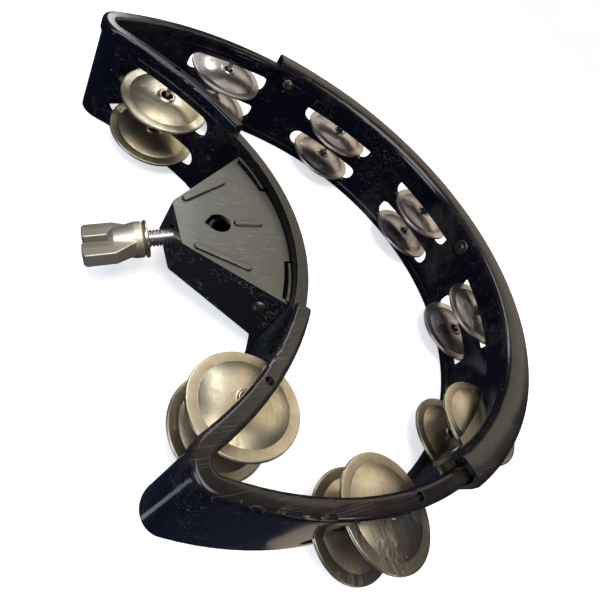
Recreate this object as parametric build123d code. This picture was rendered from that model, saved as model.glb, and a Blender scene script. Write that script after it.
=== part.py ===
from build123d import *
import os
from math import acos, asin, atan2, cos, degrees, hypot, radians, sin, sqrt

# Clamp-on crescent tambourine. Millimetres, +Z up, resting on its rims at z = 0.
# +X runs from the clamp's wing nut to the outer arc, +Y to the left horn.
# Sketch frame: the origin is the centre of the outer arc. The parts are moved
# by ORIGIN_SHIFT on export, so that the row origin is the middle of the base.
ORIGIN_SHIFT = -31.718

# ---- Crescent: centreline of the rims, as tangent arcs ----
OUTER_REACH = 136.0          # outer arc's apex, along +X
OUTER_HALF_WIDTH = 127.8     # outer arc's half width, along Y
APEX_RADIUS = 125.0
INNER_CENTRE_X = -97.4       # centre of the grip's arc
GRIP_RADIUS = 95.0
GRIP_ARC_HALF_WIDTH = 45.0   # where the grip's arc meets the flatter one
HORN_INNER_RADIUS = 128.0
TIP_RADIUS = 7.2

# ---- Main shell: C-shaped band with jingle slots ----
SHELL_HEIGHT = 50.0
BEAD_HALF = 3.6
BEAD_BOTTOM = 44.0
WALL_IN = -1.8
WALL_OUT = 2.6
FOOT_HEIGHT = 4.5
SHELL_WALL_END_Y = 60.0      # the shell's wall stops here on the inner curve
SHELL_BEAD_END_Y = 52.0      # its bead runs on, over the grip's rim
LAP_IN = -3.4
LAP_OUT = -2.15              # lap tongue beside the grip's wall
LAP_END_Y = 53.0

# ---- Grip: the inner curved strip that carries the clamp ----
GRIP_WALL_HALF = 2.0
GRIP_RIM_HALF = 3.0
GRIP_HEIGHT = 45.0
GRIP_RIM_THICKNESS = 2.6
GRIP_END_GAP = 0.1
GRIP_RIVET_Y = 56.5
GRIP_RIVET_Z = 24.0
THICK_SHANK_RADIUS = 1.5            # rivets of the grip and of the housing

# ---- Hood: channel rail over the outer arc's bead ----
HOOD_HALF_ANGLE = 76.8
HOOD_TOP = 55.4
HOOD_SKIN_BOTTOM = 39.0
HOOD_INNER_FACE = -8.1
HOOD_SKIN = 2.2
HOOD_RIVET_Z = 45.3
HOOD_RIVET_ANGLE = 73.0
HOOD_SHANK_RADIUS = 1.0

# ---- Jingles ----
JINGLE_RADIUS = 21.8
FLANGE_WIDTH = 4.6
DOME_RISE = 2.2
LIP_RISE = 0.5
SHEET = 0.6
JINGLE_HOLE_RADIUS = 2.75
PAIR_HALF_GAP = 0.15
SLOT_LENGTH = 52.0
SLOT_HEIGHT = 12.2
SLOT_CORNER = 5.2
SLOT_BOTTOM = {"top": 27.4, "bottom": 6.6}
PAIR_ABOVE_SLOT = 4.2        # middle of a resting pair above its slot's floor
PIN_RADIUS = 1.2
PIN_TOP = 47.2
PIN_BOTTOM = 1.0
OUTER_STATION_ANGLES = {2: -88.8, 3: -51.8, 4: -17.2, 5: 17.2, 6: 51.8, 7: 88.8}
INNER_STATION_Y = {1: -82.0, 8: 82.0}
# How each resting pair leans on its pin: degrees about X, then about Y.
LEAN = {
    (1, "top"): (-6, -2), (1, "bottom"): (5, 4),
    (2, "top"): (-2, 5), (2, "bottom"): (6, 5),
    (3, "top"): (-3, -2), (3, "bottom"): (-2, 2),
    (4, "top"): (2, 0), (4, "bottom"): (0, -2),
    (5, "top"): (1, -2), (5, "bottom"): (-1, 1),
    (6, "top"): (2, -3), (6, "bottom"): (3, -1),
    (7, "top"): (3, -2), (7, "bottom"): (4, 1),
    (8, "top"): (7, -8), (8, "bottom"): (10, -6),
}

# ---- Clamp housing: folded steel box ----
STEEL = 1.6
HOUSING_FRONT_X = -53.0
HOUSING_FRONT_HALF = 11.5
HOUSING_SIDE_SLOPE = 31.2 / 37.0     # half width gained per mm of X
HOUSING_TOP_FRONT = 31.5
HOUSING_BOTTOM_FRONT = 14.0
HOUSING_RISE = 0.158                 # top and bottom spread towards the grip
HOUSING_BLANK = 57.0                 # length before its back follows the grip's curve
HOUSING_TO_WALL = 0.3
PLATE_EDGE_GAP = 2.8                 # plate edge to grip wall, beside the tabs
TAB_FROM_Y = 21.0
TAB_TO_PLATE = 1.6                   # gap beside the tab, along Y
TAB_BOTTOM = 33.2
TAB_THICKNESS = 1.3
TAB_ABOVE_PLATE = 1.2
ROD_HOLE_X = -34.6
ROD_HOLE_RADIUS = 5.05
ROD_NOTCH_REACH = 6.7
RIB_WIDTH = 3.2
RIB_HEIGHT = 1.1
RIBS = (((-48.4, 12.4), (-26.4, 25.4)), ((-28.2, 0.0), (-14.4, 0.0)))
HOUSING_RIVET = (-21.5, 38.1, 26.5)  # on the left side wall's outer face
LUG_SIZE = (13.0, 7.0, 12.0)
LUG_INNER_X = -12.9                  # the lug's end inside the grip's wall
LUG_TO_STEEL = 0.12
BOLT_HOLE_HALF = 4.3
BOLT_HOLE_Z = (16.8, 25.0, 29.0)     # floor, eaves and point of the house shape

# ---- Clamp bolt, washer and wing nut, all on one drooping axis ----
DROOP = 20.0
WALL_CROSSING_Z = 21.1               # axis height 1 mm outside the front wall
EYE_X = -29.5
EYE_BORE = 6.2
EYE_OUTER = 9.0
EYE_THICKNESS = 3.4
SHANK_RADIUS = 3.5
CREST_RADIUS = 3.75
ROOT_RADIUS = 3.1
PITCH = 1.411
THREAD_START = 12.0
BOLT_END = 41.0
WASHER_START = 33.6
WASHER_THICKNESS = 1.7
WASHER_RADIUS = 8.0
NUT_START = 35.5
NUT_BORE_DEPTH = 12.4
HUB_LENGTH = 13.8
HUB_RADIUS = 7.7
WING_LENGTH = 24.0
WING_HALF_SPAN = 13.5
WING_GAP_HALF = 2.7
WING_EDGE = 5.2
WING_RIDGE = 6.2
NUT_TURN = 23.0
NUT_CLEARANCE = 0.08
FIT = 0.05                           # radial running clearance


def side_arc_radius():
    """Radius of the two side arcs, tangent to the apex arc on the Y axis."""
    offset = OUTER_REACH - APEX_RADIUS
    top = offset**2 + OUTER_HALF_WIDTH**2 - APEX_RADIUS**2
    return top / (2 * (OUTER_HALF_WIDTH - APEX_RADIUS))


SIDE_RADIUS = side_arc_radius()
APEX_CENTRE = (OUTER_REACH - APEX_RADIUS, 0.0)
SIDE_CENTRE = (0.0, OUTER_HALF_WIDTH - SIDE_RADIUS)
APEX_HALF_ANGLE = degrees(atan2(-SIDE_CENTRE[1], APEX_CENTRE[0]))
GRIP_HALF_ANGLE = degrees(asin(GRIP_ARC_HALF_WIDTH / GRIP_RADIUS))
GRIP_CENTRE = (INNER_CENTRE_X, 0.0)
HORN_CENTRE = (
    INNER_CENTRE_X - (HORN_INNER_RADIUS - GRIP_RADIUS) * cos(radians(GRIP_HALF_ANGLE)),
    -(HORN_INNER_RADIUS - GRIP_RADIUS) * sin(radians(GRIP_HALF_ANGLE)),
)


def tip_centre():
    """Centre of the left tip's arc, tangent to the outer and inner curves."""
    near = SIDE_RADIUS - TIP_RADIUS
    far = HORN_INNER_RADIUS + TIP_RADIUS
    dx = HORN_CENTRE[0] - SIDE_CENTRE[0]
    dy = HORN_CENTRE[1] - SIDE_CENTRE[1]
    gap = hypot(dx, dy)
    along = (near**2 - far**2 + gap**2) / (2 * gap)
    across = sqrt(near**2 - along**2)
    ux, uy = dx / gap, dy / gap
    return (SIDE_CENTRE[0] + along * ux + across * uy, SIDE_CENTRE[1] + along * uy - across * ux)


TIP_CENTRE = tip_centre()
if TIP_CENTRE[1] < 0:
    raise ValueError("the tip's centre has to be on the left")
TIP_START = degrees(atan2(TIP_CENTRE[1] - SIDE_CENTRE[1], TIP_CENTRE[0] - SIDE_CENTRE[0]))
TIP_END = degrees(atan2(HORN_CENTRE[1] - TIP_CENTRE[1], HORN_CENTRE[0] - TIP_CENTRE[0])) % 360
HORN_END = degrees(atan2(TIP_CENTRE[1] - HORN_CENTRE[1], TIP_CENTRE[0] - HORN_CENTRE[0]))


def horn_angle(y):
    """Angle on the horn's inner arc at height y, in degrees."""
    return degrees(asin((y - HORN_CENTRE[1]) / HORN_INNER_RADIUS))


# Arcs of the left half: centre, radius, first and last angle, and which way
# an outward offset changes the radius.
APEX = (APEX_CENTRE, APEX_RADIUS, 0.0, APEX_HALF_ANGLE, 1)
SIDE = (SIDE_CENTRE, SIDE_RADIUS, APEX_HALF_ANGLE, TIP_START, 1)
TIP = (TIP_CENTRE, TIP_RADIUS, TIP_START, TIP_END, 1)
HORN = (HORN_CENTRE, HORN_INNER_RADIUS, GRIP_HALF_ANGLE, HORN_END, -1)
GRIP = (GRIP_CENTRE, GRIP_RADIUS, 0.0, GRIP_HALF_ANGLE, -1)


def part_of(arc, first, last):
    """The same arc between two other angles."""
    centre, radius, _, _, way = arc
    return (centre, radius, first, last, way)


def swept(section, arc):
    """A band section (offset, z) turned about one arc's centre."""
    centre, radius, first, last, way = arc
    face = section if way > 0 else mirror(section, Plane.YZ)
    face = Plane.XZ * (Pos(radius, 0) * face)
    body = revolve(face, Axis.Z, last - first)
    return Pos(centre[0], centre[1], 0) * (Rot(0, 0, first) * body)


def both_sides(shape):
    """A shape and its mirror image across the XZ plane, as one."""
    return shape + mirror(shape, Plane.XZ)


def profile(points, radii):
    """A closed section; radii maps a point's number to its corner radius."""
    face = make_face(Polyline(*points, close=True))
    for number, radius in radii.items():
        x, y = points[number]
        corner = [v for v in face.vertices() if abs(v.X - x) + abs(v.Y - y) < 1e-6]
        face = fillet(corner, radius)
    return face


def turned(outline):
    """A closed outline of (radius, z) lines and arcs, turned about Z."""
    edges = [edge for line in outline for edge in line.edges()]
    return revolve(Plane.XZ * make_face(Wire(edges)), Axis.Z)


def outer_station(theta):
    """Point and outward angle on the outer curve, theta degrees round."""
    turn = radians(abs(theta))
    ray = (cos(turn), sin(turn))
    for centre, radius in ((APEX_CENTRE, APEX_RADIUS), (SIDE_CENTRE, SIDE_RADIUS)):
        along = centre[0] * ray[0] + centre[1] * ray[1]
        across = centre[0] * ray[1] - centre[1] * ray[0]
        reach = along + sqrt(radius**2 - across**2)
        x, y = reach * ray[0], reach * ray[1]
        outward = degrees(atan2(y - centre[1], x - centre[0]))
        if centre is SIDE_CENTRE or outward <= APEX_HALF_ANGLE:
            break
    flip = -1 if theta < 0 else 1
    return x, flip * y, flip * outward


def inner_station(y):
    """Point and outward angle on a horn's inner curve."""
    angle = horn_angle(abs(y))
    x = HORN_CENTRE[0] + HORN_INNER_RADIUS * cos(radians(angle))
    flip = -1 if y < 0 else 1
    return x, y, flip * (angle - 180)


def stations():
    """Number to (x, y, outward angle) of each jingle pin."""
    found = {n: outer_station(a) for n, a in OUTER_STATION_ANGLES.items()}
    found.update({n: inner_station(y) for n, y in INNER_STATION_Y.items()})
    return found


def at_station(place, z, shape):
    """A shape with local +X outward, moved to a place on the band."""
    x, y, outward = place
    return Pos(x, y, z) * (Rot(0, 0, outward) * shape)


# ---------------------------------------------------------------- frame

def shell_section():
    points = [
        (-BEAD_HALF, 0), (WALL_OUT, 0), (WALL_OUT, 43.0), (BEAD_HALF, 44.2),
        (BEAD_HALF, SHELL_HEIGHT), (-BEAD_HALF, SHELL_HEIGHT),
        (-BEAD_HALF, BEAD_BOTTOM), (WALL_IN, BEAD_BOTTOM),
        (WALL_IN, FOOT_HEIGHT), (-BEAD_HALF, FOOT_HEIGHT),
    ]
    return profile(points, {0: 0.8, 1: 0.8, 4: 2.1, 5: 2.1, 6: 0.6, 9: 0.8})


def bead_section():
    points = [
        (-BEAD_HALF, BEAD_BOTTOM), (BEAD_HALF, BEAD_BOTTOM + 0.2),
        (BEAD_HALF, SHELL_HEIGHT), (-BEAD_HALF, SHELL_HEIGHT),
    ]
    return profile(points, {0: 0.6, 2: 2.1, 3: 2.1})


def lap_section(outer):
    """Tongue from the foot up into the bead, its outer face at an offset."""
    low, high = FOOT_HEIGHT - 0.5, BEAD_BOTTOM + 2
    return profile([(LAP_IN, low), (outer, low), (outer, high), (LAP_IN, high)], {})


def jingle_slot():
    """Window through the wall for one tier, local X across the wall."""
    blank = Box(16, SLOT_LENGTH, SLOT_HEIGHT, align=(Align.CENTER, Align.CENTER, Align.MIN))
    return fillet(blank.edges().filter_by(Axis.X), SLOT_CORNER)


def pin_hole():
    """Vertical hole for a jingle pin, wider above the pin's head."""
    shaft = Cylinder(PIN_RADIUS + FIT, 60, align=(Align.CENTER, Align.CENTER, Align.MIN))
    mouth = Cylinder(1.6, 10, align=(Align.CENTER, Align.CENTER, Align.MIN))
    return Pos(0, 0, PIN_BOTTOM) * shaft + Pos(0, 0, PIN_TOP) * mouth


def rivet_bore(length, radius):
    """Horizontal hole along local X, centred on the origin."""
    return Rot(0, 90, 0) * Cylinder(radius, length)


def hood_rivet_places():
    return [outer_station(angle) for angle in (-HOOD_RIVET_ANGLE, 0.0, HOOD_RIVET_ANGLE)]


def grip_rivet_places():
    return [inner_station(y) for y in (-GRIP_RIVET_Y, GRIP_RIVET_Y)]


def main_shell():
    """C-shaped band, from the grip's one end round both tips to the other."""
    wall_end = horn_angle(SHELL_WALL_END_Y)
    bead_end = horn_angle(SHELL_BEAD_END_Y)
    half = swept(shell_section(), APEX) + swept(shell_section(), SIDE)
    half += swept(shell_section(), TIP)
    half += swept(shell_section(), part_of(HORN, wall_end, HORN_END))
    half += swept(bead_section(), part_of(HORN, bead_end, wall_end))
    half += swept(lap_section(LAP_OUT), part_of(HORN, horn_angle(LAP_END_Y), wall_end + 0.5))
    half += swept(lap_section(WALL_IN + 0.8), part_of(HORN, wall_end, wall_end + 0.6))
    shell = both_sides(half)
    for place in stations().values():
        for floor in SLOT_BOTTOM.values():
            shell -= at_station(place, floor, jingle_slot())
        shell -= at_station(place, 0, pin_hole())
    hood_bore = Pos(-2.6, 0, 0) * rivet_bore(4.4, HOOD_SHANK_RADIUS + FIT)
    for place in hood_rivet_places():
        shell -= at_station(place, HOOD_RIVET_Z, hood_bore)
    for place in grip_rivet_places():
        shell -= at_station(place, GRIP_RIVET_Z, rivet_bore(12, THICK_SHANK_RADIUS + FIT))
    return shell


def grip_section(rim_top):
    rim_bottom = rim_top - GRIP_RIM_THICKNESS
    points = [
        (-GRIP_RIM_HALF, 0), (GRIP_RIM_HALF, 0), (GRIP_RIM_HALF, 2.6), (GRIP_WALL_HALF, 3.4),
        (GRIP_WALL_HALF, rim_bottom), (GRIP_RIM_HALF, rim_bottom), (GRIP_RIM_HALF, rim_top),
        (-GRIP_RIM_HALF, rim_top), (-GRIP_RIM_HALF, rim_bottom), (-GRIP_WALL_HALF, rim_bottom),
        (-GRIP_WALL_HALF, 3.4), (-GRIP_RIM_HALF, 2.6),
    ]
    return profile(points, {0: 0.6, 1: 0.6, 6: 0.8, 7: 0.8})


def grip_end_section():
    top = BEAD_BOTTOM - GRIP_END_GAP
    return profile([(-GRIP_WALL_HALF, 0), (WALL_OUT, 0), (WALL_OUT, top), (-GRIP_WALL_HALF, top)], {})


def housing_side_direction():
    """Unit vector along the left side wall, towards the grip."""
    length = hypot(1.0, HOUSING_SIDE_SLOPE)
    return 1 / length, HOUSING_SIDE_SLOPE / length


def mount_lug():
    """Block on the grip's wall, just inside the housing's left side wall."""
    ux, uy = housing_side_direction()
    angle = degrees(atan2(uy, ux))
    block = Box(*LUG_SIZE, align=(Align.MAX, Align.MAX, Align.CENTER))
    block = fillet(block.edges().filter_by(Axis.Z).group_by(Axis.X)[0], 2.0)
    reach = (LUG_INNER_X - HOUSING_FRONT_X) * hypot(1.0, HOUSING_SIDE_SLOPE)
    start = (HOUSING_FRONT_X + reach * ux, HOUSING_FRONT_HALF + reach * uy)
    inset = STEEL + LUG_TO_STEEL
    corner = (start[0] + inset * uy, start[1] - inset * ux)
    lug = Pos(corner[0], corner[1], HOUSING_RIVET[2]) * (Rot(0, 0, angle) * block)
    inside_wall = Pos(GRIP_CENTRE[0], 0, 0) * Cylinder(GRIP_RADIUS - GRIP_WALL_HALF + 0.3, 120)
    return lug & inside_wall


def housing_rivet_hole(radius, depth, start):
    """Hole square to the left side wall, at the rivet's place."""
    ux, uy = housing_side_direction()
    hole = Cylinder(radius, depth, align=(Align.CENTER, Align.CENTER, Align.MAX))
    square = Plane(origin=HOUSING_RIVET, x_dir=(ux, uy, 0), z_dir=(-uy, ux, 0))
    return square.location * (Pos(0, 0, start) * hole)


def inner_grip():
    bead_end = horn_angle(SHELL_BEAD_END_Y) - 0.05
    wall_end = horn_angle(SHELL_WALL_END_Y) - 0.05
    half = swept(grip_section(GRIP_HEIGHT), GRIP)
    half += swept(grip_section(GRIP_HEIGHT), part_of(HORN, GRIP_HALF_ANGLE, bead_end))
    half += swept(grip_end_section(), part_of(HORN, bead_end, wall_end))
    half += mount_lug() - housing_rivet_hole(THICK_SHANK_RADIUS + FIT, 9, 1)
    grip = both_sides(half)
    for place in grip_rivet_places():
        grip -= at_station(place, GRIP_RIVET_Z, rivet_bore(12, THICK_SHANK_RADIUS + FIT))
    return grip


def hood_section():
    points = [
        (3.7, 41.8), (5.9, 49.6), (6.2, 53.4), (3.6, HOOD_TOP), (-2.0, 55.2), (-5.4, 54.0),
        (-7.2, 52.0), (HOOD_INNER_FACE, 49.6), (HOOD_INNER_FACE, HOOD_SKIN_BOTTOM),
        (HOOD_INNER_FACE + HOOD_SKIN, HOOD_SKIN_BOTTOM), (HOOD_INNER_FACE + HOOD_SKIN, 49.2),
        (-4.2, 51.6), (-1.4, 52.7), (2.8, 52.8), (BEAD_HALF + 0.15, 51.2),
        (BEAD_HALF + 0.15, 43.9), (2.75, 42.8), (2.75, 41.8),
    ]
    return profile(points, {2: 1.2, 3: 1.2, 8: 0.5, 9: 0.5})


def outer_hood():
    """Rail over the outer arc; three bosses meet the shell's bead."""
    end = outer_station(HOOD_HALF_ANGLE)[2]
    half = swept(hood_section(), APEX) + swept(hood_section(), part_of(SIDE, APEX_HALF_ANGLE, end))
    hood = both_sides(half)
    for place in hood_rivet_places():
        boss = Pos(-4.85, 0, 0) * rivet_bore(2.2, 1.9)
        bore = Pos(-6, 0, 0) * rivet_bore(8, HOOD_SHANK_RADIUS + FIT)
        hood += at_station(place, HOOD_RIVET_Z, boss)
        hood -= at_station(place, HOOD_RIVET_Z, bore)
    return hood


# ---------------------------------------------------------------- clamp housing

def housing_prism(inset, outset):
    """Plan of the housing as a tall prism, its sides moved in by inset."""
    front_x = HOUSING_FRONT_X + inset
    back_x = HOUSING_FRONT_X + HOUSING_BLANK
    slant = inset * hypot(1.0, HOUSING_SIDE_SLOPE)
    front_half = HOUSING_FRONT_HALF + inset * HOUSING_SIDE_SLOPE - slant
    back_half = HOUSING_FRONT_HALF + HOUSING_BLANK * HOUSING_SIDE_SLOPE - slant
    plan = Polyline(
        (front_x, -front_half), (back_x, -back_half), (back_x, back_half),
        (front_x, front_half), close=True,
    )
    prism = extrude(make_face(plan), 60)
    if outset:
        upright = [e for e in prism.edges().filter_by(Axis.Z) if e.center().X < HOUSING_FRONT_X + 1]
        prism = fillet(upright, 2.4)
    return prism


def housing_wedge(inset):
    """Everything between the sloping top and bottom planes, moved in."""
    drop = inset * hypot(1.0, HOUSING_RISE)
    rise = HOUSING_RISE * HOUSING_BLANK
    outline = Polyline(
        (HOUSING_FRONT_X - 2, HOUSING_BOTTOM_FRONT + drop + 2 * HOUSING_RISE),
        (HOUSING_FRONT_X - 2, HOUSING_TOP_FRONT - drop - 2 * HOUSING_RISE),
        (HOUSING_FRONT_X + HOUSING_BLANK, HOUSING_TOP_FRONT - drop + rise),
        (HOUSING_FRONT_X + HOUSING_BLANK, HOUSING_BOTTOM_FRONT + drop - rise), close=True,
    )
    return extrude(Plane.XZ * make_face(outline), 70, both=True)


def plate_top(x):
    return HOUSING_TOP_FRONT + HOUSING_RISE * (x - HOUSING_FRONT_X)


def rib(start, end):
    """Rounded rib pressed up out of the top plate."""
    length = hypot(end[0] - start[0], end[1] - start[1])
    angle = degrees(atan2(end[1] - start[1], end[0] - start[0]))
    bar = extrude(SlotOverall(length, RIB_WIDTH), RIB_HEIGHT + 0.6)
    bar = fillet(bar.faces().sort_by(Axis.Z)[-1].edges(), 0.8)
    middle = ((start[0] + end[0]) / 2, (start[1] + end[1]) / 2)
    tilt = Rot(0, -degrees(atan2(HOUSING_RISE, 1)), 0)
    return Pos(middle[0], middle[1], plate_top(middle[0]) - 0.6) * (tilt * (Rot(0, 0, angle) * bar))


def rod_hole():
    """Teardrop through both plates: round towards the grip, a V to the nut."""
    centre = ROD_HOLE_X
    touch = acos(ROD_HOLE_RADIUS / ROD_NOTCH_REACH)
    side = (centre - ROD_HOLE_RADIUS * cos(touch), ROD_HOLE_RADIUS * sin(touch))
    point = (centre - ROD_NOTCH_REACH, 0)
    notch = Polyline((centre, 0), side, point, (side[0], -side[1]), close=True)
    drop = make_face(notch) + Pos(centre, 0) * Circle(ROD_HOLE_RADIUS)
    return extrude(drop, 60)


def bolt_hole():
    """House-shaped hole in the front wall, pointed at its top."""
    half = BOLT_HOLE_HALF
    floor, eaves, point = BOLT_HOLE_Z
    outline = Polyline(
        (-half, floor), (half, floor), (half, eaves), (0, point), (-half, eaves), close=True,
    )
    return Pos(HOUSING_FRONT_X, 0, 0) * extrude(Plane.YZ * make_face(outline), 4, both=True)


def clamp_housing():
    grip_face = GRIP_RADIUS - GRIP_WALL_HALF - HOUSING_TO_WALL
    inside = Pos(GRIP_CENTRE[0], 0, 0) * Cylinder(grip_face, 140)
    outer = housing_prism(0, True) & housing_wedge(0)
    outer = outer & inside
    hollow = housing_prism(STEEL, False) & housing_wedge(STEEL)
    box = outer - hollow
    edge_band = Cylinder(grip_face + 1, 140) - Cylinder(grip_face - PLATE_EDGE_GAP, 140)
    edge_band = Pos(GRIP_CENTRE[0], 0, 0) * edge_band
    corner_zone = Box(30, 40, 24, align=(Align.CENTER, Align.MIN, Align.MIN))
    corner_zone = Pos(-12, TAB_FROM_Y, 28) * corner_zone
    box -= both_sides(edge_band & corner_zone & housing_prism(STEEL, False))
    tab_band = Cylinder(grip_face, 140) - Cylinder(grip_face - TAB_THICKNESS, 140)
    tab_band = Pos(GRIP_CENTRE[0], 0, 0) * tab_band
    tab_zone = Box(30, 40, 6, align=(Align.CENTER, Align.MIN, Align.MIN))
    tab_zone = Pos(-12, TAB_FROM_Y + TAB_TO_PLATE, TAB_BOTTOM) * tab_zone
    tab = tab_band & tab_zone & housing_prism(0.4, False) & housing_wedge(-TAB_ABOVE_PLATE)
    box += both_sides(tab)
    box += both_sides(rib(*RIBS[0])) + rib(*RIBS[1])
    box -= rod_hole()
    box -= bolt_hole()
    box -= both_sides(housing_rivet_hole(THICK_SHANK_RADIUS + FIT, 9, 1))
    return box


# ---------------------------------------------------------------- fasteners

def domed_rivet(head_radius, head_height, shank_radius, length):
    """Rivet with its head's base at z = 0, head up and shank down."""
    rim = 0.35
    cap = head_height - rim
    ball = (head_radius**2 + cap**2) / (2 * cap)
    half = asin(head_radius / ball) / 2
    middle = (ball * sin(half), head_height - ball * (1 - cos(half)))
    outline = [
        Polyline((0, -length), (shank_radius, -length), (shank_radius, 0), (head_radius, 0),
                 (head_radius, rim)),
        ThreePointArc((head_radius, rim), middle, (0, head_height)),
        Line((0, head_height), (0, -length)),
    ]
    return turned(outline)


def grouped(shapes):
    """Separate solids kept together in one node."""
    return Part() + shapes


def hood_rivets():
    """Two round-headed rivets, and a small hollow one on the washer."""
    places = hood_rivet_places()
    inward = Rot(0, -90, 0)
    found = []
    rivet = domed_rivet(3.2, 1.5, HOOD_SHANK_RADIUS, 7.0)
    rivet = Pos(HOOD_INNER_FACE - 0.08, 0, 0) * (inward * rivet)
    for place in (places[0], places[2]):
        found.append(at_station(place, HOOD_RIVET_Z, rivet))
    middle = domed_rivet(1.9, 0.9, HOOD_SHANK_RADIUS, 7.6) - Pos(0, 0, 0.3) * Cylinder(0.7, 3)
    middle = Pos(HOOD_INNER_FACE - 0.95, 0, 0) * (inward * middle)
    found.append(at_station(places[1], HOOD_RIVET_Z, middle))
    return grouped(found)


def middle_rivet_washer():
    ring = Cylinder(4.5, 0.8) - Cylinder(HOOD_SHANK_RADIUS + FIT, 2)
    ring = fillet(ring.edges().filter_by(GeomType.CIRCLE).sort_by(Axis.Z)[-1:], 0.25)
    ring = Pos(HOOD_INNER_FACE - 0.1 - 0.42, 0, 0) * (Rot(0, -90, 0) * ring)
    return at_station(hood_rivet_places()[1], HOOD_RIVET_Z, ring)


def housing_rivets():
    """One rivet through each side wall into the grip's lug."""
    ux, uy = housing_side_direction()
    square = Plane(origin=HOUSING_RIVET, x_dir=(ux, uy, 0), z_dir=(-uy, ux, 0))
    rivet = domed_rivet(3.3, 1.6, THICK_SHANK_RADIUS, 7.5)
    left = square.location * (Pos(0, 0, side_face_gap() + 0.02) * rivet)
    return grouped([left, mirror(left, Plane.XZ)])


def side_face_gap():
    """How far the rivet's stated place is from the side wall's outer face."""
    ux, uy = housing_side_direction()
    dx = HOUSING_RIVET[0] - HOUSING_FRONT_X
    dy = HOUSING_RIVET[1] - HOUSING_FRONT_HALF
    return dx * uy - dy * ux


def grip_rivets():
    """One rivet at each end of the grip, headed on the inside of the lap."""
    found = []
    for place in grip_rivet_places():
        rivet = Rot(0, -90, 0) * domed_rivet(2.8, 1.2, THICK_SHANK_RADIUS, 5.8)
        rivet = Pos(LAP_IN - 0.02, 0, 0) * rivet
        found.append(at_station(place, GRIP_RIVET_Z, rivet))
    return grouped(found)


def jingle_pin(place):
    length = PIN_TOP - PIN_BOTTOM
    pin = Cylinder(PIN_RADIUS, length, align=(Align.CENTER, Align.CENTER, Align.MIN))
    pin = chamfer(pin.edges().filter_by(GeomType.CIRCLE), 0.3)
    return Pos(place[0], place[1], PIN_BOTTOM) * pin


# ---------------------------------------------------------------- jingles

def jingle_disc():
    """Pressed disc: flat flange, crease, low dome and a raised lip."""
    crease = JINGLE_RADIUS - FLANGE_WIDTH
    neck = 4.2
    lip = 3.5
    shoulder = 11.5
    base = PAIR_HALF_GAP

    def skin(height):
        middle = (shoulder, height + 0.72 * DOME_RISE)
        return ThreePointArc((crease, height), middle, (neck, height + DOME_RISE))

    top = base + SHEET
    outline = [
        Line((JINGLE_RADIUS, base), (JINGLE_RADIUS, top)),
        Line((JINGLE_RADIUS, top), (crease, top)),
        skin(top),
        Polyline((neck, top + DOME_RISE), (lip, top + DOME_RISE + LIP_RISE),
                 (JINGLE_HOLE_RADIUS, top + DOME_RISE + LIP_RISE),
                 (JINGLE_HOLE_RADIUS, base + DOME_RISE), (neck, base + DOME_RISE)),
        skin(base),
        Line((crease, base), (JINGLE_RADIUS, base)),
    ]
    return turned(outline)


def jingle(place, number, tier, side, disc):
    """One disc of a pair, leaning with its pair on the pin."""
    lean_x, lean_y = LEAN[(number, tier)]
    posed = disc if side == "over" else mirror(disc, Plane.XY)
    posed = Rot(0, lean_y, 0) * (Rot(lean_x, 0, 0) * posed)
    return Pos(place[0], place[1], SLOT_BOTTOM[tier] + PAIR_ABOVE_SLOT) * posed


# ---------------------------------------------------------------- clamp bolt

def bolt_plane():
    """Local X runs out along the bolt from the middle of its eye."""
    tilt = radians(DROOP)
    height = WALL_CROSSING_Z + (EYE_X - HOUSING_FRONT_X + 1) * sin(tilt) / cos(tilt)
    return Plane(origin=(EYE_X, 0, height), x_dir=(-cos(tilt), 0, -sin(tilt)),
                 z_dir=(-sin(tilt), 0, cos(tilt)))


def on_bolt(shape):
    return bolt_plane().location * shape


def thread_points(start, end):
    """Zigzag of the thread's crests and roots, as plain rings."""
    turns = int((end - start) // PITCH)
    points = []
    for turn in range(turns):
        x = start + turn * PITCH
        points.append((x, ROOT_RADIUS))
        points += [(x + part * PITCH, CREST_RADIUS) for part in (0.44, 0.56)]
    points.append((start + turns * PITCH, ROOT_RADIUS))
    return points


def eye_bolt():
    eye = Cylinder(EYE_OUTER, EYE_THICKNESS) - Cylinder(EYE_BORE, EYE_THICKNESS + 2)
    eye = fillet(eye.edges().filter_by(GeomType.CIRCLE), 0.6)
    neck = 8.0
    points = [(neck, 0), (neck, SHANK_RADIUS), (THREAD_START, SHANK_RADIUS)]
    points += thread_points(THREAD_START, BOLT_END)
    points += [(BOLT_END, ROOT_RADIUS - 0.3), (BOLT_END, 0)]
    shank = revolve(make_face(Polyline(*points, close=True)), Axis.X)
    return on_bolt(eye + shank)


def nut_washer():
    ring = Cylinder(WASHER_RADIUS, WASHER_THICKNESS) - Cylinder(CREST_RADIUS + NUT_CLEARANCE, 4)
    outer = ring.edges().filter_by(GeomType.CIRCLE).group_by(lambda e: round(e.radius, 1))[-1]
    ring = fillet(outer, 0.35)
    return on_bolt(Pos(WASHER_START + WASHER_THICKNESS / 2, 0, 0) * (Rot(0, 90, 0) * ring))


def wing_outline():
    """One wing seen along local Z: flares from the hub, then runs back."""
    end = NUT_START + WING_LENGTH
    return Polyline(
        (NUT_START + 2.0, 4.5), (NUT_START + 3.6, HUB_RADIUS), (NUT_START + 11.5, WING_HALF_SPAN),
        (end - 1.0, WING_HALF_SPAN), (end, WING_HALF_SPAN - 2.4), (end, WING_GAP_HALF + 0.8),
        (end - 0.8, WING_GAP_HALF), (NUT_START + HUB_LENGTH - 1.5, WING_GAP_HALF), close=True,
    )


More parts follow.
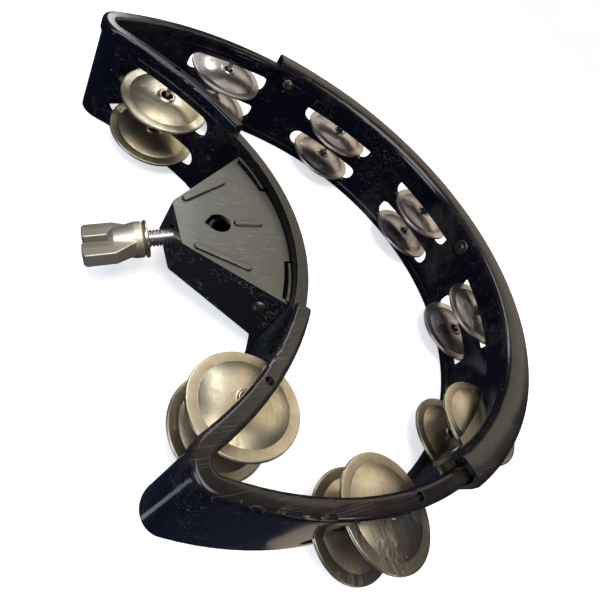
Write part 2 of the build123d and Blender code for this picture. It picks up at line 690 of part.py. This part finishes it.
def wing_nut():
    plan = extrude(make_face(wing_outline()), WING_RIDGE, both=True)
    middle = (WING_GAP_HALF + WING_HALF_SPAN) / 2
    section = Polyline(
        (WING_GAP_HALF, -WING_EDGE / 2), (middle, -WING_RIDGE / 2), (WING_HALF_SPAN, -WING_EDGE / 2),
        (WING_HALF_SPAN, WING_EDGE / 2), (middle, WING_RIDGE / 2), (WING_GAP_HALF, WING_EDGE / 2),
        close=True,
    )
    bar = extrude(Plane.YZ * make_face(section), NUT_START + WING_LENGTH + 5)
    wing = plan & bar
    hub_points = [
        (NUT_START, 0), (NUT_START, HUB_RADIUS - 0.7), (NUT_START + 0.7, HUB_RADIUS),
        (NUT_START + 3.5, HUB_RADIUS), (NUT_START + HUB_LENGTH - 2, HUB_RADIUS - 1.9),
        (NUT_START + HUB_LENGTH, HUB_RADIUS - 3.6), (NUT_START + HUB_LENGTH, 0),
    ]
    hub = revolve(make_face(Polyline(*hub_points, close=True)), Axis.X)
    bore = Cylinder(CREST_RADIUS + NUT_CLEARANCE, 2 * NUT_BORE_DEPTH)
    bore = Rot(0, 90, 0) * bore
    nut = hub + wing + mirror(wing, Plane.XZ) - Pos(NUT_START, 0, 0) * bore
    return on_bolt(Rot(NUT_TURN, 0, 0) * nut)


# ---------------------------------------------------------------- assembly

def build_parts():
    """Node name to shape, in the sketch frame."""
    parts = {
        "main_shell": main_shell(),
        "outer_hood": outer_hood(),
        "inner_grip": inner_grip(),
        "clamp_housing": clamp_housing(),
        "hood_rivets": hood_rivets(),
        "middle_rivet_washer": middle_rivet_washer(),
        "housing_rivets": housing_rivets(),
        "grip_rivets": grip_rivets(),
        "eye_bolt": eye_bolt(),
        "nut_washer": nut_washer(),
        "wing_nut": wing_nut(),
    }
    disc = jingle_disc()
    for number, place in sorted(stations().items()):
        parts[f"jingle_pin_{number}"] = jingle_pin(place)
        for tier in ("top", "bottom"):
            for side in ("under", "over"):
                parts[f"jingle_{number}_{tier}_{side}"] = jingle(place, number, tier, side, disc)
    return parts


def main():
    os.makedirs("parts", exist_ok=True)
    for name, shape in build_parts().items():
        export_step(Pos(ORIGIN_SHIFT, 0, 0) * shape, f"parts/{name}.step")


if __name__ == "__main__":
    main()
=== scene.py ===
import math
import random

import bmesh
import bpy
from mathutils import Matrix, Vector


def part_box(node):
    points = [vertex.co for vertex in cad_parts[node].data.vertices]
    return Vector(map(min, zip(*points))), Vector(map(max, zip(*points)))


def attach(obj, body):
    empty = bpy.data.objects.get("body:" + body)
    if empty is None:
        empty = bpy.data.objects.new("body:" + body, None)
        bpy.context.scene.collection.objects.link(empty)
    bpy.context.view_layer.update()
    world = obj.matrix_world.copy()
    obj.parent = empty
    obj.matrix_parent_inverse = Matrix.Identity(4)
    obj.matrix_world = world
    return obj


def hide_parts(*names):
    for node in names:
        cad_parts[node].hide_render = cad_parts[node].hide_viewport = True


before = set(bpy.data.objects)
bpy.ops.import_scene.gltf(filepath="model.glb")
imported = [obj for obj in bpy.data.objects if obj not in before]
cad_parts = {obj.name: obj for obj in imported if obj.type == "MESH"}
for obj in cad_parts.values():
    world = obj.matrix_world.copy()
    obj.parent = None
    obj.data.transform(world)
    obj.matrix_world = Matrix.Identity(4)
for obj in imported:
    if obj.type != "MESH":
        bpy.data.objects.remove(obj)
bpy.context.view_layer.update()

# Looks of the clamp-on crescent tambourine. Lengths are in millimetres until
# they reach Blender, which takes metres; MM turns one into the other.
MM = 0.001
STATIONS = range(1, 9)
TIERS = ("top", "bottom")
SIDES = ("under", "over")
PAIR_HEIGHT = {"top": 31.6, "bottom": 10.8}
LEAN = {
    (1, "top"): (-6, -2), (1, "bottom"): (5, 4),
    (2, "top"): (-2, 5), (2, "bottom"): (6, 5),
    (3, "top"): (-3, -2), (3, "bottom"): (-2, 2),
    (4, "top"): (2, 0), (4, "bottom"): (0, -2),
    (5, "top"): (1, -2), (5, "bottom"): (-1, 1),
    (6, "top"): (2, -3), (6, "bottom"): (3, -1),
    (7, "top"): (3, -2), (7, "bottom"): (4, 1),
    (8, "top"): (7, -8), (8, "bottom"): (10, -6),
}
BRASSY = (1, 2, 3, 8)

# An edge that folds more than this stays sharp.
SHARP_DEGREES = 32.0

# ---- Bolt axis, as in the CAD ----
DROOP = 20.0
EYE_X = -61.218
EYE_HEIGHT = 30.017
PITCH = 1.411
CREST_RADIUS = 3.75
ROOT_RADIUS = 3.1
THREAD_START = 12.0
BOLT_END = 41.0
WASHER_START = 33.6
SHANK_START = 8.4
SHANK_RADIUS = 3.5

# ---- Fineness of the round shapes, in steps per turn ----
DISC_STEPS = 96
BOLT_STEPS = 48


# ---------------------------------------------------------------- node helpers

def node(tree, kind, inputs=None, **settings):
    """Adds a shader node; inputs maps a socket to a value or to a link."""
    made = tree.nodes.new(kind)
    for name, value in settings.items():
        setattr(made, name, value)
    for name, value in (inputs or {}).items():
        socket = made.inputs[name]
        if isinstance(value, bpy.types.NodeSocket):
            tree.links.new(value, socket)
        else:
            socket.default_value = value
    return made


def maths(tree, operation, first, second=0.0, third=0.0):
    made = node(tree, "ShaderNodeMath", {0: first, 1: second, 2: third}, operation=operation)
    return made.outputs[0]


def noise(tree, where, scale, detail=3.0, roughness=0.5, distortion=0.0):
    made = node(tree, "ShaderNodeTexNoise", {
        "Vector": where, "Scale": scale, "Detail": detail,
        "Roughness": roughness, "Distortion": distortion,
    })
    return made.outputs["Fac"]


def ramp(tree, value, stops):
    """Colour ramp from (position, colour) stops; a colour may be one number."""
    made = node(tree, "ShaderNodeValToRGB", {"Fac": value})
    elements = made.color_ramp.elements
    while len(elements) < len(stops):
        elements.new(0.5)
    for element, (position, colour) in zip(elements, stops):
        element.position = position
        shade = colour if isinstance(colour, tuple) else (colour, colour, colour)
        element.color = (*shade, 1.0)
    return made.outputs["Color"]


def blend(tree, factor, first, second):
    """Colour between first and second."""
    def full(colour):
        return (*colour, 1.0) if isinstance(colour, tuple) else colour

    made = node(tree, "ShaderNodeMix", data_type="RGBA")
    made.inputs["Factor"].default_value = 0.0
    for socket, value in ((made.inputs["Factor"], factor), (made.inputs[6], full(first)),
                          (made.inputs[7], full(second))):
        if isinstance(value, bpy.types.NodeSocket):
            tree.links.new(value, socket)
        else:
            socket.default_value = value
    return made.outputs[2]


def stretched(tree, where, scales, turn=0.0):
    made = node(tree, "ShaderNodeMapping", {"Vector": where, "Scale": scales,
                                            "Rotation": (turn, turn * 0.7, turn * 1.3)})
    return made.outputs["Vector"]


def scratches(tree, where, turn, along=14.0, across=260.0, width=0.012):
    """Mask of long hairlines: thin contours of a drawn-out noise."""
    drawn = stretched(tree, where, (along, across, across), turn)
    level = noise(tree, drawn, 1.0, 1.0)
    off = maths(tree, "ABSOLUTE", maths(tree, "SUBTRACT", level, 0.5))
    line = maths(tree, "LESS_THAN", off, width)
    patches = noise(tree, where, 28.0 + 9.0 * turn, 2.0)
    return maths(tree, "MULTIPLY", line, maths(tree, "GREATER_THAN", patches, 0.53))


def specks(tree, where, scale, size, share):
    """Mask of small separate dots."""
    cells = node(tree, "ShaderNodeTexVoronoi", {"Vector": where, "Scale": scale})
    near = maths(tree, "LESS_THAN", cells.outputs["Distance"], size)
    colour = node(tree, "ShaderNodeSeparateColor", {"Color": cells.outputs["Color"]})
    chosen = maths(tree, "GREATER_THAN", colour.outputs[0], 1.0 - share)
    return maths(tree, "MULTIPLY", near, chosen)


def new_material(name):
    material = bpy.data.materials.new(name)
    material.use_nodes = True
    tree = material.node_tree
    shader = tree.nodes["Principled BSDF"]
    where = node(tree, "ShaderNodeTexCoord").outputs["Object"]
    return material, tree, shader, where


def bump(tree, shader, height, distance, strength=1.0, edge=0.0):
    """Fine relief; edge is the radius that catches light on sharp edges."""
    made = node(tree, "ShaderNodeBump", {"Height": height, "Strength": strength,
                                         "Distance": distance})
    if edge:
        worn = node(tree, "ShaderNodeBevel", {"Radius": edge * MM}, samples=6)
        tree.links.new(worn.outputs["Normal"], made.inputs["Normal"])
    tree.links.new(made.outputs["Normal"], shader.inputs["Normal"])


def upward(tree):
    """How far the surface faces up, 0 to 1."""
    geometry = node(tree, "ShaderNodeNewGeometry")
    parts = node(tree, "ShaderNodeSeparateXYZ", {"Vector": geometry.outputs["True Normal"]})
    return maths(tree, "MAXIMUM", parts.outputs["Z"], 0.0)


# ---------------------------------------------------------------- materials

def black_plastic(name, tint, sheen_and_dust_colour, gloss):
    """Moulded gloss black: hairlines, dust specks and a brownish top that is partly dust and partly a
    painted sheen of warm light.
    """
    material, tree, shader, where = new_material(name)
    lines = maths(tree, "MAXIMUM", scratches(tree, where, 0.3, 9.0, 300.0, 0.006),
                  scratches(tree, where, 1.9, 8.0, 340.0, 0.006))
    dots = specks(tree, where, 330.0, 0.1, 0.12)
    wear = noise(tree, where, 46.0, 5.0, 0.62)
    # Upward faces blend towards the second colour: partly dust, partly a painted sheen of the warm
    # light above.
    facing = maths(tree, "POWER", upward(tree), 3.0)
    dust_and_sheen = maths(tree, "MULTIPLY", facing, maths(tree, "MULTIPLY_ADD", wear, 0.9, 0.25))
    colour = blend(tree, dust_and_sheen, tint, sheen_and_dust_colour)
    scuffed = ramp(tree, noise(tree, where, 22.0, 6.0, 0.7, 0.6), ((0.52, 0.0), (0.78, 1.0)))
    colour = blend(tree, maths(tree, "MULTIPLY", scuffed, 0.16), colour, (0.16, 0.14, 0.1))
    marks = maths(tree, "MAXIMUM", maths(tree, "MULTIPLY", lines, 0.3), dots)
    colour = blend(tree, maths(tree, "MULTIPLY", marks, 0.3), colour, (0.3, 0.28, 0.25))
    tree.links.new(colour, shader.inputs["Base Color"])
    rough = maths(tree, "MULTIPLY_ADD", wear, 0.12, gloss)
    rough = maths(tree, "MULTIPLY_ADD", dust_and_sheen, 0.12, rough)
    rough = maths(tree, "MULTIPLY_ADD", lines, 0.12, rough)
    tree.links.new(rough, shader.inputs["Roughness"])
    shader.inputs["Specular IOR Level"].default_value = 0.42
    ripple = noise(tree, where, 90.0, 2.0)
    height = maths(tree, "MULTIPLY_ADD", lines, -0.3, maths(tree, "MULTIPLY", ripple, 0.5))
    bump(tree, shader, height, 0.00006, 0.6, 0.4)
    return material


def housing_paint():
    """Enamelled steel: satin above, where a painted olive sheen lightens the colour; glossy at the
    sides.
    """
    material, tree, shader, where = new_material("housing_paint_look")
    peel = noise(tree, where, 700.0, 3.0)
    cloud = noise(tree, where, 60.0, 5.0, 0.6)
    lines = maths(tree, "MAXIMUM", scratches(tree, where, 0.7, 20.0, 330.0, 0.008),
                  scratches(tree, where, 2.6, 24.0, 300.0, 0.008))
    facing = maths(tree, "POWER", upward(tree), 4.0)
    satin_and_sheen = maths(tree, "MULTIPLY", facing, maths(tree, "MULTIPLY_ADD", cloud, 0.5, 0.7))
    # The olive-grey of the upward faces is a painted sheen of warm light on the dark enamel.
    colour = blend(tree, satin_and_sheen, (0.006, 0.006, 0.008), (0.095, 0.089, 0.064))
    rounded = node(tree, "ShaderNodeBevel", {"Radius": 0.35 * MM}, samples=4)
    turned = node(tree, "ShaderNodeVectorMath", {
        0: rounded.outputs["Normal"], 1: node(tree, "ShaderNodeNewGeometry").outputs["Normal"],
    }, operation="DOT_PRODUCT")
    worn = maths(tree, "LESS_THAN", turned.outputs["Value"], 0.94)
    worn = maths(tree, "MULTIPLY", worn, noise(tree, where, 240.0, 3.0))
    marks = maths(tree, "MAXIMUM", maths(tree, "MULTIPLY", lines, 0.5), worn)
    colour = blend(tree, maths(tree, "MULTIPLY", marks, 0.45), colour, (0.35, 0.32, 0.25))
    tree.links.new(colour, shader.inputs["Base Color"])
    rough = maths(tree, "MULTIPLY_ADD", satin_and_sheen, 0.22, maths(tree, "MULTIPLY_ADD", cloud, 0.1, 0.1))
    tree.links.new(rough, shader.inputs["Roughness"])
    shader.inputs["Coat Weight"].default_value = 0.15
    shader.inputs["Coat Roughness"].default_value = 0.12
    height = maths(tree, "MULTIPLY_ADD", lines, -0.6, maths(tree, "MULTIPLY", peel, 0.35))
    bump(tree, shader, height, 0.00005, 0.7, 0.5)
    return material


def jingle_metal(name, plating, base, gloss):
    """Pressed disc: turned rings, worn plating, smudges and specks of dirt."""
    material, tree, shader, where = new_material(name)
    parts = node(tree, "ShaderNodeSeparateXYZ", {"Vector": where})
    radius = maths(tree, "SQRT", maths(
        tree, "ADD", maths(tree, "MULTIPLY", parts.outputs["X"], parts.outputs["X"]),
        maths(tree, "MULTIPLY", parts.outputs["Y"], parts.outputs["Y"])))
    around = node(tree, "ShaderNodeCombineXYZ", {"X": maths(tree, "MULTIPLY", radius, 2600.0)})
    rings = noise(tree, around.outputs[0], 1.0, 3.0, 0.7)
    cloud = noise(tree, where, 75.0, 6.0, 0.65)
    fine = noise(tree, where, 620.0, 4.0, 0.6)
    lines = maths(tree, "MAXIMUM", scratches(tree, where, 0.5, 30.0, 520.0, 0.012),
                  scratches(tree, where, 2.2, 26.0, 480.0, 0.012))
    worn = ramp(tree, maths(tree, "MULTIPLY_ADD", fine, 0.35, cloud), ((0.45, 0.0), (0.85, 1.0)))
    colour = blend(tree, worn, plating, base)
    dirt = maths(tree, "MULTIPLY", specks(tree, where, 520.0, 0.16, 0.1), 0.75)
    creases = ramp(tree, maths(tree, "ABSOLUTE", maths(tree, "SUBTRACT", radius, 17.2 * MM)),
                   ((0.0, 0.55), (0.0011, 0.0)))
    dirt = maths(tree, "MAXIMUM", dirt, maths(tree, "MULTIPLY", creases, cloud))
    colour = blend(tree, dirt, colour, (0.13, 0.095, 0.06))
    tree.links.new(colour, shader.inputs["Base Color"])
    shader.inputs["Metallic"].default_value = 1.0
    rough = maths(tree, "MULTIPLY_ADD", worn, 0.1, maths(tree, "MULTIPLY_ADD", fine, 0.06, gloss))
    rough = maths(tree, "MULTIPLY_ADD", lines, 0.15, rough)
    tree.links.new(rough, shader.inputs["Roughness"])
    height = maths(tree, "MULTIPLY_ADD", rings, 0.2, maths(tree, "MULTIPLY", cloud, 0.45))
    height = maths(tree, "MULTIPLY_ADD", lines, -0.35, height)
    bump(tree, shader, height, 0.00012, 0.7)
    return material


def plain_metal(name, light, dark, rough_low, grain_scale, depth):
    """Fastener metal: two tones, grain and scattered dull spots."""
    material, tree, shader, where = new_material(name)
    cloud = noise(tree, where, 190.0, 5.0, 0.6)
    grain = noise(tree, where, grain_scale, 3.0, 0.6)
    spots = specks(tree, where, 900.0, 0.17, 0.15)
    mixed = ramp(tree, cloud, ((0.35, 0.0), (0.7, 1.0)))
    colour = blend(tree, mixed, light, dark)
    colour = blend(tree, maths(tree, "MULTIPLY", spots, 0.5), colour,
                   tuple(0.45 * part for part in dark))
    tree.links.new(colour, shader.inputs["Base Color"])
    shader.inputs["Metallic"].default_value = 1.0
    rough = maths(tree, "MULTIPLY_ADD", cloud, 0.2, rough_low)
    tree.links.new(rough, shader.inputs["Roughness"])
    bump(tree, shader, maths(tree, "ADD", grain, maths(tree, "MULTIPLY", spots, -0.5)), depth)
    return material


def floor_paint():
    material, tree, shader, where = new_material("studio_floor")
    colour = ramp(tree, noise(tree, where, 3.0, 4.0), ((0.3, (0.86, 0.86, 0.87)),
                                                      (0.7, (0.89, 0.89, 0.89))))
    tree.links.new(colour, shader.inputs["Base Color"])
    tree.links.new(colour, shader.inputs["Emission Color"])
    shader.inputs["Emission Strength"].default_value = 0.66
    shader.inputs["Roughness"].default_value = 0.7
    shader.inputs["Specular IOR Level"].default_value = 0.1
    return material


# ---------------------------------------------------------------- mesh helpers

def add_piece(name, mesh, material, place=None):
    piece = bpy.data.objects.new(name, mesh)
    bpy.context.scene.collection.objects.link(piece)
    piece.data.materials.clear()
    piece.data.materials.append(material)
    if place is not None:
        piece.matrix_world = place
    return piece


def stand_for(piece, nodes, body):
    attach(piece, body)
    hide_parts(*nodes)


def smooth(mesh, sharp_degrees=SHARP_DEGREES):
    mesh.shade_smooth()
    mesh.set_sharp_from_angle(angle=math.radians(sharp_degrees))


def node_copy(name, merge_flats=True):
    """A welded copy of a CAD node's mesh, its flat areas merged if wanted."""
    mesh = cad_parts[name].data.copy()
    shape = bmesh.new()
    shape.from_mesh(mesh)
    bmesh.ops.remove_doubles(shape, verts=shape.verts, dist=0.002 * MM)
    if merge_flats:
        bmesh.ops.dissolve_limit(shape, angle_limit=math.radians(0.6), verts=shape.verts,
                                 edges=shape.edges)
    shape.to_mesh(mesh)
    shape.free()
    if mesh.has_custom_normals:
        mesh.attributes.remove(mesh.attributes["custom_normal"])
    smooth(mesh)
    return mesh


def soften(piece, width):
    """Small rounded edges where the CAD solid has sharp ones."""
    edge = piece.modifiers.new("edges", "BEVEL")
    edge.width = width * MM
    edge.segments = 2
    edge.limit_method = "ANGLE"
    edge.angle_limit = math.radians(SHARP_DEGREES)
    edge.harden_normals = True
    edge.use_clamp_overlap = True


def turned_mesh(name, outline, steps):
    """A closed (radius, z) outline turned about Z, in millimetres."""
    rows = len(outline)
    verts = []
    for step in range(steps):
        angle = 2 * math.pi * step / steps
        for radius, z in outline:
            verts.append((radius * math.cos(angle) * MM, radius * math.sin(angle) * MM, z * MM))
    faces = []
    for step in range(steps):
        near, far = step * rows, (step + 1) % steps * rows
        for row in range(rows):
            after = (row + 1) % rows
            faces.append((near + row, far + row, far + after, near + after))
    mesh = bpy.data.meshes.new(name)
    mesh.from_pydata(verts, [], faces)
    shape = bmesh.new()
    shape.from_mesh(mesh)
    bmesh.ops.remove_doubles(shape, verts=shape.verts, dist=0.0005 * MM)
    bmesh.ops.recalc_face_normals(shape, faces=shape.faces)
    shape.to_mesh(mesh)
    shape.free()
    smooth(mesh, 40.0)
    return mesh


# ---------------------------------------------------------------- jingles

def disc_outline():
    """Flange with a rolled edge, crease, low dome and a raised lip."""
    rim, crease, neck, hole = 21.55, 17.2, 4.2, 2.75
    sheet, rise, swell = 0.6, 2.2, 2.2
    base, roll = 0.15, 0.3
    face = base + sheet
    top = face + rise

    def rolled(degrees):
        turn = math.radians(degrees)
        return rim - roll + roll * math.cos(turn), base + roll + roll * math.sin(turn)

    def dome(radius):
        return rise * (1 - ((radius - neck) / (crease - neck))**swell)

    upper = [rolled(degrees) for degrees in (0, 30, 60, 90)]
    upper += [(radius, face) for radius in (20.6, 19.4, 18.2, 17.6)]
    upper += [(crease + 0.12, face - 0.02), (crease - 0.06, face + 0.05)]
    steps = 16
    for step in range(1, steps + 1):
        radius = crease - 0.4 + (neck + 0.4 - crease) * step / steps
        upper.append((radius, face + dome(radius)))
    upper += [(4.0, top + 0.14), (3.75, top + 0.38), (3.45, top + 0.5), (3.05, top + 0.48),
              (hole, top + 0.3)]
    lower = [(hole, base + rise + 0.1), (neck, base + rise)]
    for step in range(1, 11):
        radius = neck + (crease - 0.2 - neck) * step / 10
        lower.append((radius, base + dome(radius)))
    lower += [(crease + 0.2, base), (19.4, base), (rim - roll, base)]
    lower += [rolled(degrees) for degrees in (-60, -30)]
    return upper + lower


def jingles(materials):
    for number in STATIONS:
        low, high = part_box(f"jingle_pin_{number}")
        centre = (Vector(low) + Vector(high)) / 2
        for tier in TIERS:
            lean_x, lean_y = LEAN[(number, tier)]
            place = Matrix.Translation((centre.x, centre.y, PAIR_HEIGHT[tier] * MM))
            place = place @ Matrix.Rotation(math.radians(lean_y), 4, "Y")
            place = place @ Matrix.Rotation(math.radians(lean_x), 4, "X")
            for side in SIDES:
                body = f"jingle_{number}_{tier}_{side}"
                quarter = random.Random(body).randrange(4)
                turn = Matrix.Rotation(quarter * math.pi / 2, 4, "Z")
                flip = Matrix.Rotation(math.pi, 4, "X") if side == "under" else Matrix.Identity(4)
                mesh = turned_mesh(f"mesh_{body}", disc_outline(), DISC_STEPS)
                material = materials["brass" if number in BRASSY else "nickel"]
                piece = add_piece(f"disc_{number}_{tier}_{side}", mesh, material, place @ flip @ turn)
                stand_for(piece, [body], body)


# ---------------------------------------------------------------- clamp bolt

def bolt_frame():
    """Local +X runs out along the bolt from the middle of its eye."""
    tilt = math.radians(DROOP)
    out = Vector((-math.cos(tilt), 0, -math.sin(tilt)))
    up = Vector((-math.sin(tilt), 0, math.cos(tilt)))
    frame_matrix = Matrix((out, up.cross(out), up)).transposed().to_4x4()
    frame_matrix.translation = (EYE_X * MM, 0, EYE_HEIGHT * MM)
    return frame_matrix


def thread_radius(phase):
    """Rounded V thread: radius at a phase of 0 to 1 across one pitch."""
    distance = abs(phase - 0.5) * 2
    share = min(1.0, max(0.0, (distance - 0.12) / 0.74))
    eased = share * share * (3 - 2 * share)
    return CREST_RADIUS - 0.02 - (CREST_RADIUS - ROOT_RADIUS - 0.02) * (0.55 * share + 0.45 * eased)


def bolt_mesh():
    """Shank with a true helical thread, running down to its turned end."""
    around, rows = BOLT_STEPS, []
    u = SHANK_START
    while u < BOLT_END + 1e-6:
        rows.append(u)
        u += 0.7 if u < THREAD_START - 1 else PITCH / 14
    verts, faces = [], []
    for u in rows:
        lead_in = min(1.0, max(0.0, (u - THREAD_START) / 1.2))
        lead_out = min(1.0, max(0.0, (BOLT_END - u) / 1.4))
        for step in range(around):
            angle = 2 * math.pi * step / around
            radius = thread_radius((u / PITCH - step / around) % 1.0)
            radius = SHANK_RADIUS + (radius - SHANK_RADIUS) * lead_in
            radius = min(radius, ROOT_RADIUS - 0.3 + (CREST_RADIUS - ROOT_RADIUS + 0.3) * lead_out)
            verts.append((u * MM, radius * math.cos(angle) * MM, radius * math.sin(angle) * MM))
    for row in range(len(rows) - 1):
        for step in range(around):
            after = (step + 1) % around
            near, far = row * around, (row + 1) * around
            faces.append((near + step, near + after, far + after, far + step))
    faces.append(tuple(range(around - 1, -1, -1)))
    faces.append(tuple(range((len(rows) - 1) * around, len(rows) * around)))
    mesh = bpy.data.meshes.new("bolt_shank")
    mesh.from_pydata(verts, [], faces)
    smooth(mesh, 50.0)
    return mesh


def eye_mesh():
    """Forged eye: a ring with a rounded section."""
    outline = []
    for step in range(20):
        turn = 2 * math.pi * step / 20
        across, along = math.cos(turn), math.sin(turn)
        squared = 1.0 / max(abs(across), abs(along)) ** 0.55
        outline.append((7.6 + 1.36 * across * min(1.0, squared), 1.68 * along * min(1.0, squared)))
    return turned_mesh("bolt_eye", outline, 64)


def eye_bolt(material):
    place = bolt_frame()
    shank = add_piece("clamp_bolt", bolt_mesh(), material, place)
    eye = add_piece("clamp_bolt_eye", eye_mesh(), material, place)
    stand_for(shank, ["eye_bolt"], "eye_bolt")
    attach(eye, "eye_bolt")


def nut_washer(material):
    outline = [(3.85, 0.1), (4.1, 0.0), (7.3, 0.0), (7.75, 0.12), (7.95, 0.45), (7.98, 0.85),
               (7.9, 1.3), (7.6, 1.6), (7.2, 1.7), (6.4, 1.62), (5.6, 1.68), (4.1, 1.7), (3.85, 1.6)]
    place = bolt_frame() @ Matrix.Translation((WASHER_START * MM, 0, 0))
    place = place @ Matrix.Rotation(math.radians(90), 4, "Y")
    piece = add_piece("bolt_washer", turned_mesh("bolt_washer", outline, 72), material, place)
    stand_for(piece, ["nut_washer"], "nut_washer")


# ---------------------------------------------------------------- wing nut

def wing_nut(material):
    """Cast nut: the CAD outline with soft cast edges."""
    piece = add_piece("cast_wing_nut", node_copy("wing_nut"), material)
    remesh = piece.modifiers.new("cast", "REMESH")
    remesh.mode = "VOXEL"
    remesh.voxel_size = 0.28 * MM
    remesh.use_smooth_shade = True
    ease = piece.modifiers.new("ease", "SMOOTH")
    ease.factor = 0.5
    ease.iterations = 6
    stand_for(piece, ["wing_nut"], "wing_nut")


# ---------------------------------------------------------------- frame pieces

def carried(name, piece_name, material, width):
    """A flat-sided node with small rounded edges."""
    piece = add_piece(piece_name, node_copy(name), material)
    soften(piece, width)
    stand_for(piece, [name], "frame")


def swept_piece(name, piece_name, material):
    """A band or folded sheet: its own faces, with normals weighted by area."""
    piece = add_piece(piece_name, node_copy(name, merge_flats=False), material)
    even = piece.modifiers.new("even", "WEIGHTED_NORMAL")
    even.keep_sharp = True
    even.weight = 60
    stand_for(piece, [name], "frame")


# ---------------------------------------------------------------- scene

def camera():
    data = bpy.data.cameras.new("camera")
    data.sensor_width = 36.0
    data.lens = 28.67244
    data.clip_start = 0.01
    data.clip_end = 50.0
    made = bpy.data.objects.new("camera", data)
    bpy.context.scene.collection.objects.link(made)
    right = Vector((0.80049271, -0.29781137, 0.52011519))
    up = Vector((-0.04095378, 0.83860174, 0.54320338))
    back = right.cross(up)
    view = Matrix((right, up, back)).transposed().to_4x4()
    view.translation = (-161.454 * MM, -133.587 * MM, 171.647 * MM)
    made.matrix_world = view
    bpy.context.scene.camera = made


def softbox(name, place, aim, size, power, colour):
    data = bpy.data.lights.new(name, "AREA")
    data.shape = "RECTANGLE"
    data.size, data.size_y = size
    data.energy = power
    data.color = colour
    made = bpy.data.objects.new(name, data)
    bpy.context.scene.collection.objects.link(made)
    made.location = place
    towards = Vector(aim) - Vector(place)
    made.rotation_euler = towards.to_track_quat("-Z", "Y").to_euler()


def studio():
    world = bpy.data.worlds.new("studio_world")
    bpy.context.scene.world = world
    world.use_nodes = True
    background = world.node_tree.nodes["Background"]
    background.inputs["Color"].default_value = (0.45, 0.55, 1.0, 1.0)
    background.inputs["Strength"].default_value = 0.045
    softbox("ceiling", (1.15, 0.88, 1.3), (0, 0, 0), (1.6, 1.3), 7.0, (1.0, 0.87, 0.68))
    softbox("top_key", (-0.35, -0.2, 1.6), (0, 0, 0), (1.0, 1.0), 17.0, (1.0, 0.97, 0.92))
    softbox("window", (0.1, 0.95, 0.9), (0, 0, 0.02), (0.12, 0.9), 3.0, (0.92, 0.96, 1.0))
    softbox("cool_side", (-1.1, -0.3, 0.8), (0, 0, 0.02), (0.5, 0.5), 6.0, (0.6, 0.75, 1.0))
    softbox("warm_front", (0.5, -1.3, 0.6), (0, 0, 0.02), (0.3, 0.3), 2.0, (1.0, 0.86, 0.66))
    # These two lie below the floor, which is hidden from mirrors, so that the
    # upright walls have something faint to reflect.
    softbox("low_warm", (0.22, -0.2, -0.35), (0, 0, 0.02), (0.22, 0.1), 0.03, (1.0, 0.8, 0.55))
    softbox("low_cool", (-0.27, -0.1, -0.35), (0, 0, 0.02), (0.04, 0.3), 0.04, (0.7, 0.82, 1.0))


def floor(material):
    """Flat floor that sweeps up all round, so that no horizon shows."""
    outline = [(0.0, 0.0), (0.6, 0.0), (1.6, 0.0), (2.6, 0.0)]
    for degrees in range(10, 91, 10):
        turn = math.radians(degrees)
        outline.append((2.6 + 1.4 * math.sin(turn), 1.4 * (1 - math.cos(turn))))
    outline.append((4.0, 2.2))
    steps = 64
    verts, faces = [(0, 0, 0)], []
    rows = len(outline) - 1
    for step in range(steps):
        angle = 2 * math.pi * step / steps
        verts += [(r * math.cos(angle), r * math.sin(angle), z) for r, z in outline[1:]]
    for step in range(steps):
        near, far = 1 + step * rows, 1 + (step + 1) % steps * rows
        faces.append((0, near, far))
        faces += [(near + row, near + row + 1, far + row + 1, far + row) for row in range(rows - 1)]
    mesh = bpy.data.meshes.new("studio_floor")
    mesh.from_pydata(verts, [], faces)
    mesh.shade_smooth()
    piece = add_piece("studio_floor", mesh, material)
    piece.visible_glossy = False


def dress():
    # The navy in these near-black tints is a painted blue reflection; the brownish second colours are
    # dust with a painted warm sheen.
    plastic = black_plastic("shell_look", (0.0014, 0.0017, 0.0045), (0.026, 0.021, 0.017), 0.05)
    hood = black_plastic("hood_look", (0.0015, 0.0016, 0.004), (0.03, 0.024, 0.019), 0.06)
    grip = black_plastic("grip_look", (0.0015, 0.0015, 0.003), (0.026, 0.022, 0.017), 0.06)
    rivet = plain_metal("rivet_look", (0.42, 0.35, 0.28), (0.25, 0.21, 0.17), 0.25, 900.0, 0.00004)
    swept_piece("main_shell", "shell", plastic)
    swept_piece("outer_hood", "hood", hood)
    swept_piece("inner_grip", "grip", grip)
    swept_piece("clamp_housing", "housing", housing_paint())
    for name in ("hood_rivets", "middle_rivet_washer", "housing_rivets", "grip_rivets"):
        carried(name, f"{name}_heads", rivet, 0.12)
    wire = plain_metal("pin_look", (0.6, 0.57, 0.52), (0.42, 0.38, 0.33), 0.22, 1400.0, 0.00003)
    for number in STATIONS:
        carried(f"jingle_pin_{number}", f"pin_{number}", wire, 0.1)
    jingles({
        "nickel": jingle_metal("nickel_jingle_look", (0.72, 0.68, 0.66), (0.6, 0.53, 0.49), 0.24),
        "brass": jingle_metal("brass_jingle_look", (0.72, 0.66, 0.51), (0.58, 0.5, 0.34), 0.25),
    })
    eye_bolt(plain_metal("zinc_look", (0.84, 0.83, 0.8), (0.6, 0.57, 0.5), 0.2, 1500.0, 0.00003))
    nut_washer(plain_metal("washer_look", (0.8, 0.76, 0.66), (0.6, 0.52, 0.36), 0.2, 900.0, 0.00004))
    wing_nut(plain_metal("cast_nut_look", (0.98, 0.88, 0.7), (0.86, 0.77, 0.6), 0.4, 1100.0, 0.00005))


bpy.context.scene.view_settings.view_transform = "Standard"
camera()
studio()
floor(floor_paint())
dress()
